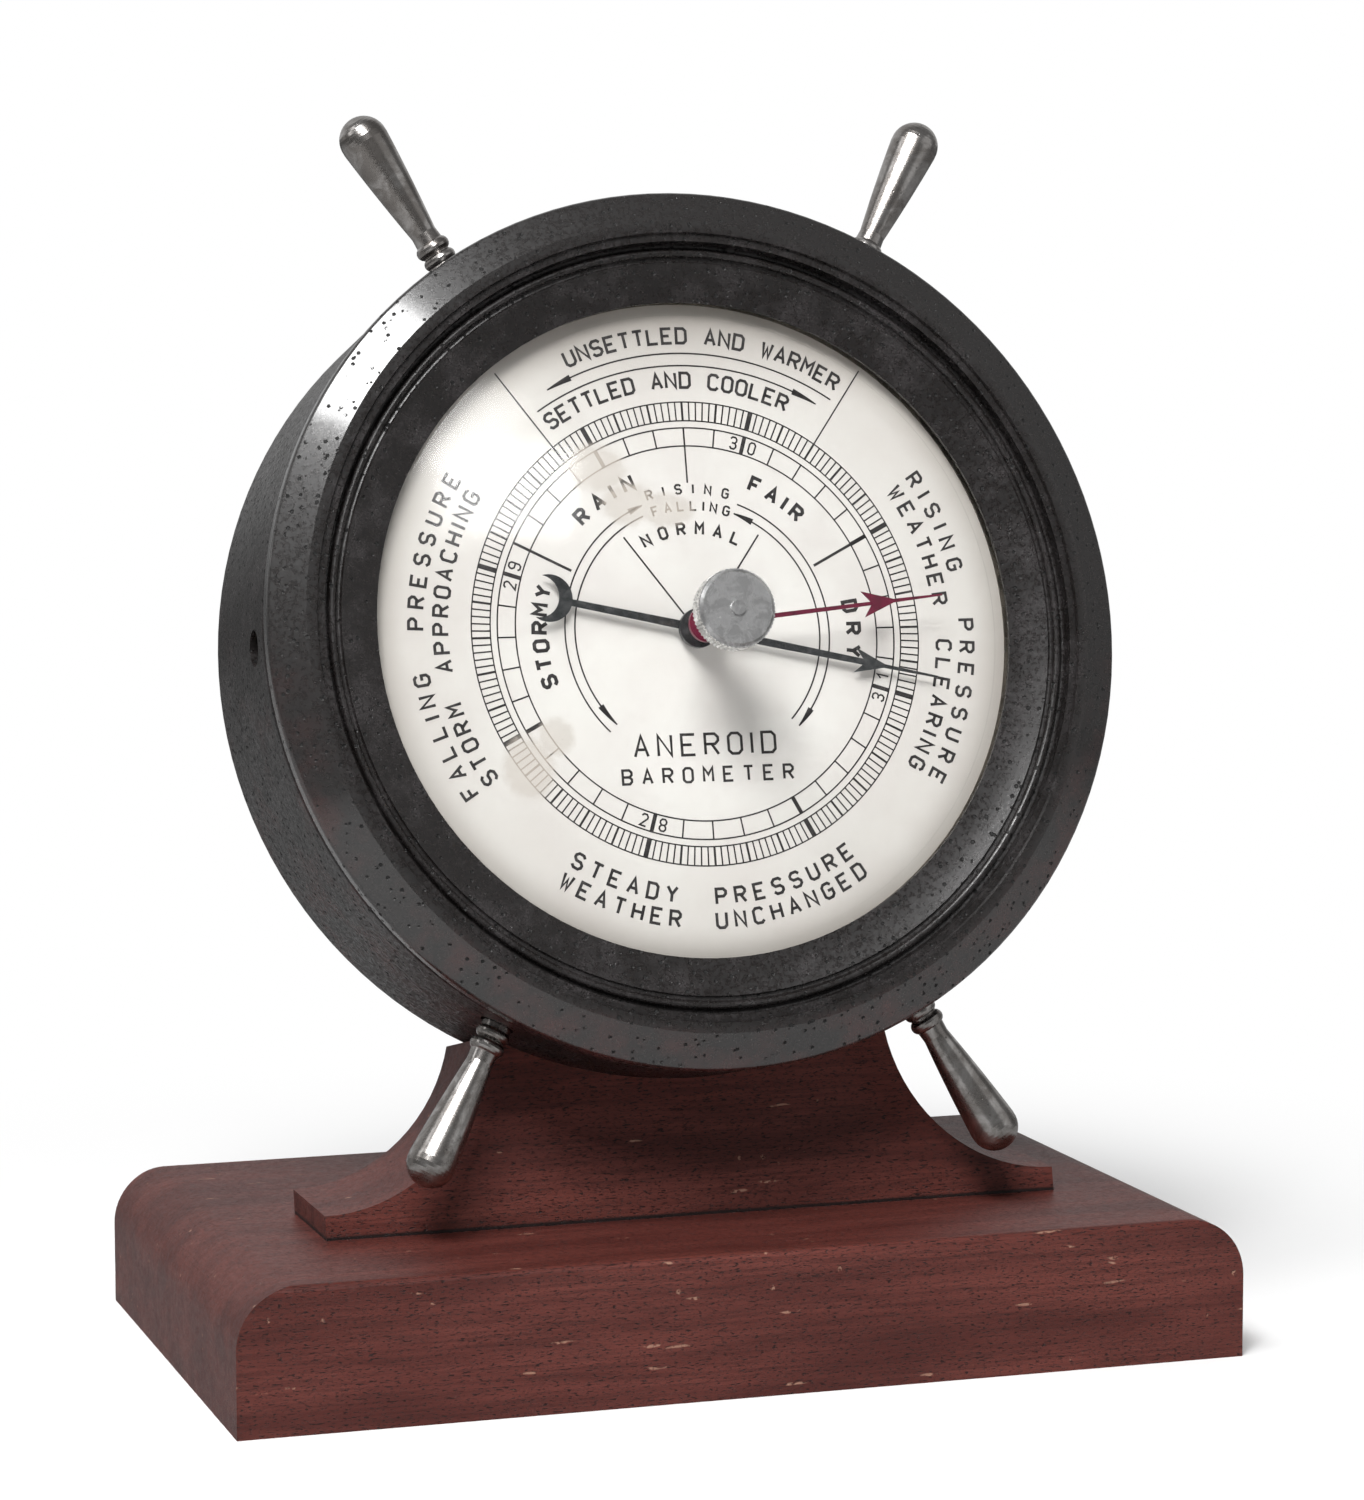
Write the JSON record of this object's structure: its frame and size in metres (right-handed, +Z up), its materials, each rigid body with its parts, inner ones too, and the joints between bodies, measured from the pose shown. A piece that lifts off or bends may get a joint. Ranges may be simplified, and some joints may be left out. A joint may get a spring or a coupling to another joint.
{
  "type": "ship barometer",
  "caption": "Aneroid barometer in a turned ship's-wheel case with handles, domed glass, pressure hand and set hand, lying back in a wooden cradle on a wooden base.",
  "frame": {"origin": "centre of the base block's underside", "axes": "+Z up, -Y towards the front of the dial, +X to the right seen from the front"},
  "size_m": [0.1566, 0.0914, 0.1886],
  "materials": {
    "mahogany": "worn satin varnish over open-pored mahogany",
    "case_lacquer": "near-black lacquer over turned hardwood, pitted with open pores",
    "felt": "green felt",
    "aged_nickel": "aged, dulled nickel plate",
    "knob_nickel": "mottled brushed nickel",
    "lens_glass": "clear domed glass",
    "dial_enamel": "cream enamel with light staining",
    "hand_gunmetal": "blued steel, satin",
    "hand_burgundy": "burgundy lacquer",
    "gasket_fibre": "dark fibre",
    "brass": "machined brass",
    "steel": "bright steel",
    "spring_steel": "blued spring steel",
    "capsule_metal": "plated beryllium copper"
  },
  "bodies": {
    "case_and_stand": {"base_block": "mahogany", "base_felt": "felt", "cradle_board": "mahogany", "pedestal_screws": "steel", "case_screws": "steel", "case_body": "case_lacquer", "front_ring": "case_lacquer", "ring_screws": "steel", "lens": "lens_glass", "lens_gasket": "gasket_fibre", "dial_spacer": "steel", "dial": "dial_enamel", "socket_inserts": "brass", "handle_top_left": "aged_nickel", "handle_top_right": "aged_nickel", "handle_bottom_right": "aged_nickel", "handle_bottom_left": "aged_nickel", "lens_bushing": "brass", "bushing_nut": "brass", "hairspring": "spring_steel", "hairspring_stud": "brass", "base_plate": "brass", "movement_screws": "steel", "pillars": "brass", "bridge_plate": "brass", "bridge_screws": "steel", "upper_pillars": "brass", "top_plate": "brass", "top_plate_screws": "steel", "capsule_back": "capsule_metal", "capsule_front": "capsule_metal", "capsule_stud": "brass", "rocking_bearings": "brass"},
    "set_hand_unit": {"set_knob": "knob_nickel", "set_spindle": "knob_nickel", "set_hand": "hand_burgundy"},
    "pressure_hand_unit": {"pressure_hand": "hand_gunmetal", "hand_arbor": "steel", "pinion": "brass", "hairspring_collet": "brass"},
    "sector": {"sector_gear": "brass", "sector_arbor": "steel"},
    "rocker": {"rocking_shaft": "steel"},
    "post": {"capsule_post": "brass"},
    "adjuster": {"adjusting_screw": "steel"}
  },
  "joints": [
    {"name": "pressure_hand_turn", "type": "hinge", "parent": "case_and_stand", "child": "pressure_hand_unit", "pos_m": [0, -0.01134, 0.11003], "axis": [0, 0.9732, -0.23], "range_deg": [-264.6, 50.4], "deforming": ["hairspring"]},
    {"name": "set_hand_turn", "type": "hinge", "parent": "case_and_stand", "child": "set_hand_unit", "pos_m": [0, -0.02691, 0.11371], "axis": [0, 0.9732, -0.23], "continuous": true},
    {"name": "sector_turn", "type": "hinge", "parent": "case_and_stand", "child": "sector", "pos_m": [0, -0.00279, 0.12836], "axis": [0, -0.9732, 0.23], "range_deg": [-26.51, 5.09]},
    {"name": "rocker_turn", "type": "hinge", "parent": "case_and_stand", "child": "rocker", "pos_m": [0, 0.00276, 0.13445], "axis": [0, -0.23, -0.9732], "range_deg": [-16.59, 3.2]},
    {"name": "post_travel", "type": "slide", "parent": "case_and_stand", "child": "post", "axis": [0, 0.9732, -0.23], "range_m": [-0.0007554, 0.0001479], "deforming": ["capsule_front"]},
    {"name": "adjusting_screw_turn", "type": "hinge", "parent": "case_and_stand", "child": "adjuster", "pos_m": [-0.0026, 0.01359, 0.13291], "axis": [0, 0.9732, -0.23], "range_deg": [-90, 90]}
  ],
  "couplings": [
    {"joint": "sector_turn", "follows": "pressure_hand_turn", "ratio": 0.1},
    {"joint": "rocker_turn", "follows": "pressure_hand_turn", "ratio": 0.0625},
    {"joint": "post_travel", "follows": "pressure_hand_turn", "m_per_rad": 0.0001625}
  ]
}
